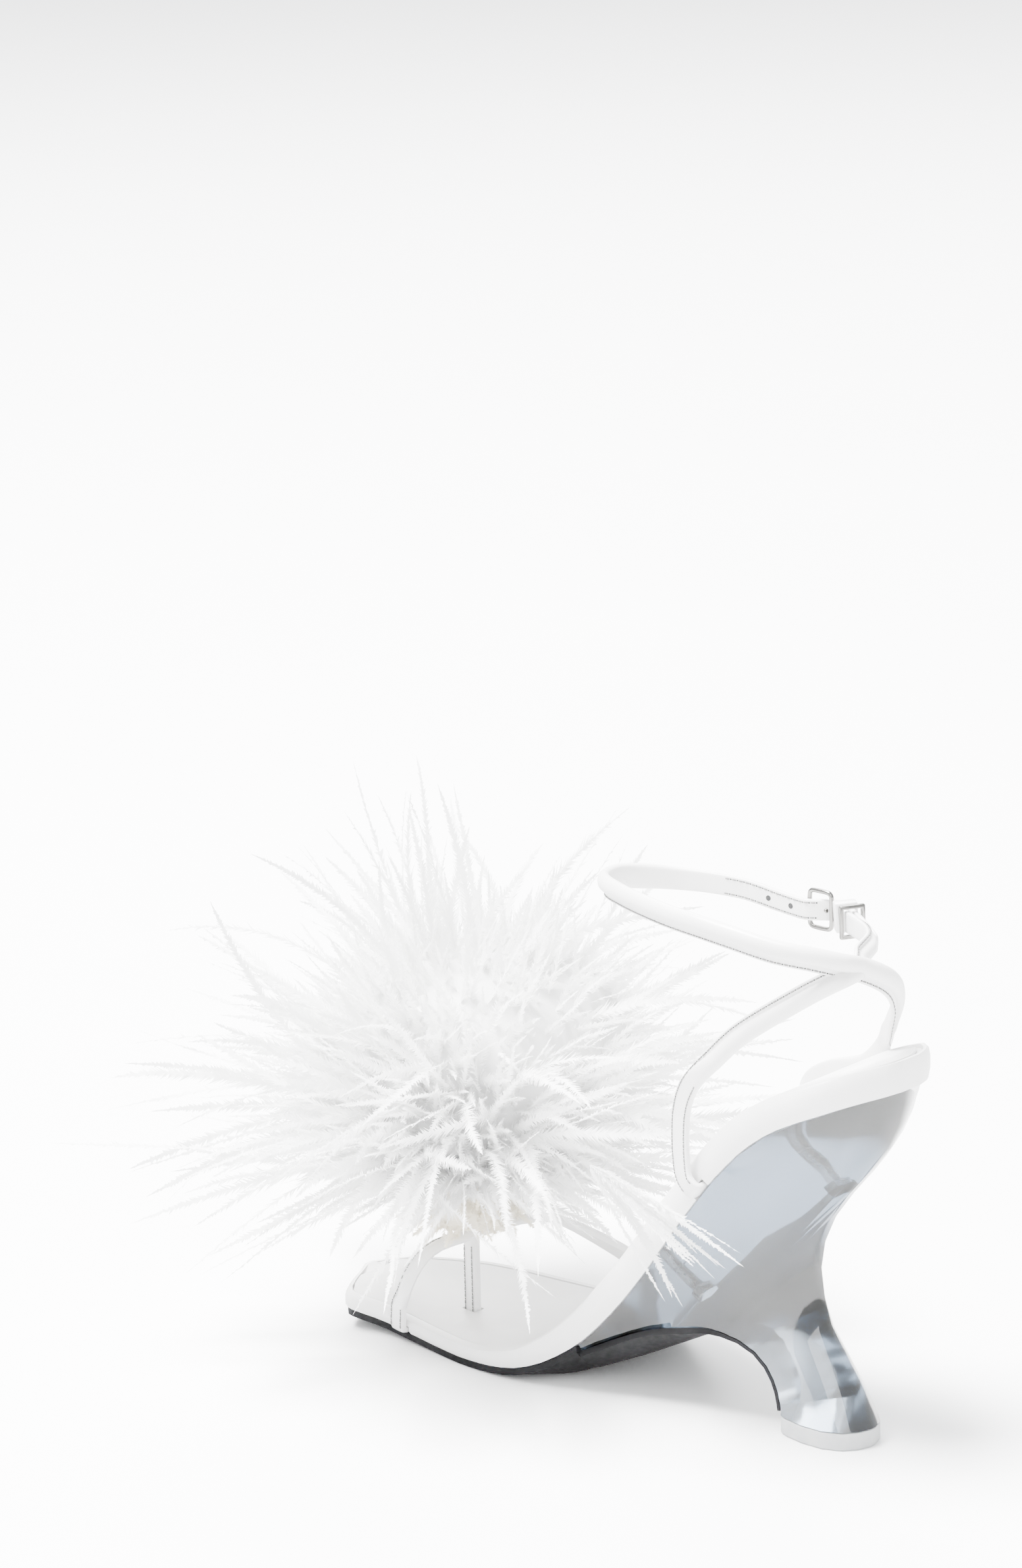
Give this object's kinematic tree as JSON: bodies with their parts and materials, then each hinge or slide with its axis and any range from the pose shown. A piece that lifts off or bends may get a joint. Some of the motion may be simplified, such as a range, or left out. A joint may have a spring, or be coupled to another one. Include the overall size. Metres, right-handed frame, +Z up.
{
  "type": "feather trimmed wedge sandal",
  "caption": "Women's right high heeled sandal: padded white footbed on a clear sculpted wedge, rolled crossed ankle strap with buckle, forefoot strap with toe post and a large feather pompom.",
  "frame": {"origin": "middle of the heel tread's underside, on the floor", "axes": "+Z up, +Y towards the toe, +X to the wearer's right, the outer side of this right shoe"},
  "size_m": [0.1948, 0.2567, 0.1621],
  "materials": {
    "leather": "smooth semi gloss white",
    "sock": "matt white lining",
    "sole": "satin black",
    "acrylic": "clear polished acrylic",
    "tread": "cloudy translucent",
    "bolt": "satin",
    "buckle": "polished nickel",
    "quill": "ivory quills",
    "plume": "white down"
  },
  "bodies": {
    "root": {"footbed": "leather", "sock_lining": "sock", "outsole": "sole", "heel": "acrylic", "heel_tread": "tread", "heel_screw_front": "bolt", "heel_screw_rear": "bolt", "ankle_strap": "leather", "buckle_frame": "buckle", "buckle_prong": "buckle", "strap_keeper": "leather", "keeper_ring": "buckle", "vamp_strap": "leather", "pompom_base": "quill", "feather_pompom": "plume"}
  },
  "joints": []
}
